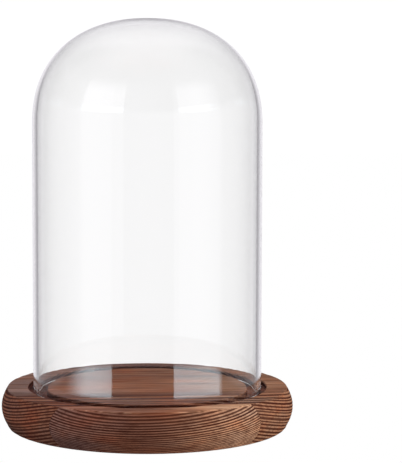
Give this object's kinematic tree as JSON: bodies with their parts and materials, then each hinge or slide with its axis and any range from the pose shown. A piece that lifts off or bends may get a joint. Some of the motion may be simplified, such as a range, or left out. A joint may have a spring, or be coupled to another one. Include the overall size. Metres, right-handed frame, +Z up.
{
  "type": "bell jar dome",
  "caption": "Clear glass bell jar with a flattened round crown, standing in the groove of a round, dark, strongly grained wooden base; the jar lifts straight off to put something on show.",
  "frame": {"origin": "under the centre of the base, on the surface that the rubber feet stand on", "axes": "+Z up along the axis of the jar and the base; -Y is the front, the side seen first; the boards of the base run 4.1 degrees off +X"},
  "size_m": [0.1526, 0.1526, 0.2129],
  "materials": {
    "clear_glass": "clear, polished, very slightly uneven blown glass",
    "carbonised_pine": "carbonised and brushed softwood, satin, dark latewood lines",
    "black_rubber": "matt, faintly grained"
  },
  "bodies": {
    "base": {"base_board_middle": "carbonised_pine", "base_board_front": "carbonised_pine", "base_board_back": "carbonised_pine", "rubber_foot_1": "black_rubber", "rubber_foot_2": "black_rubber", "rubber_foot_3": "black_rubber", "rubber_foot_4": "black_rubber"},
    "dome": {"glass_dome": "clear_glass"}
  },
  "joints": [
    {"name": "dome_lift", "type": "slide", "parent": "base", "child": "dome", "axis": [0, 0, 1], "range_m": [0, 0.2]}
  ]
}
